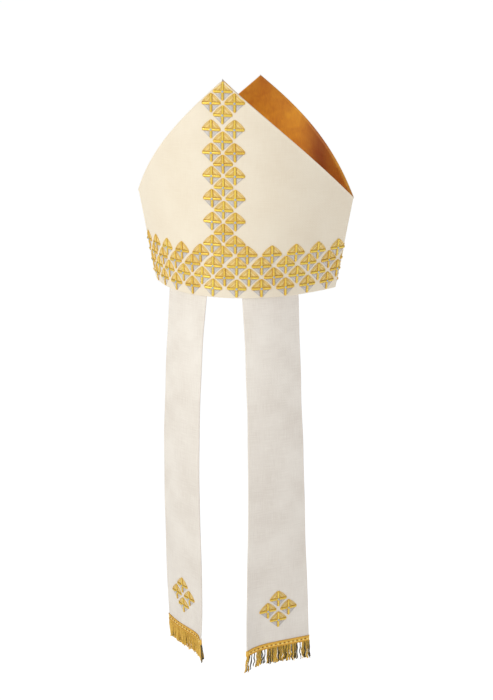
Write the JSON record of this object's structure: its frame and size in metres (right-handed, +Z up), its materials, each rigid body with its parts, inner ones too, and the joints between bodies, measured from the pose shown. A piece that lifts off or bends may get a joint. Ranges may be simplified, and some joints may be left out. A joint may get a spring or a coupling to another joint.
{
  "type": "bishop mitre",
  "caption": "Tall folding ceremonial hat with pointed front and back horns, a satin crown lining between them and fringed lappets hanging from the back rim.",
  "frame": {"origin": "middle of the head opening, level with the rim, where a head or stand takes the hat", "axes": "+Z up to the horns' tips, +X to the wearer's right through the side seam, +Y to the wearer's front, so the lappets hang at -Y"},
  "size_m": [0.2632, 0.177, 0.724],
  "materials": {
    "cream_cloth": "plain-woven cream cloth on stiffening, embroidered with gold and silver thread",
    "gold_satin": "smooth orange-gold satin",
    "lappet_cloth": "plain-woven off-white cloth, doubled",
    "gold_bullion": "twisted gold thread"
  },
  "bodies": {
    "root": {"back_panel": "cream_cloth", "front_panel": "cream_cloth", "crown_lining": "gold_satin", "lappet_right": "lappet_cloth", "lappet_left": "lappet_cloth", "fringe_right": "gold_bullion", "fringe_left": "gold_bullion"}
  },
  "joints": []
}
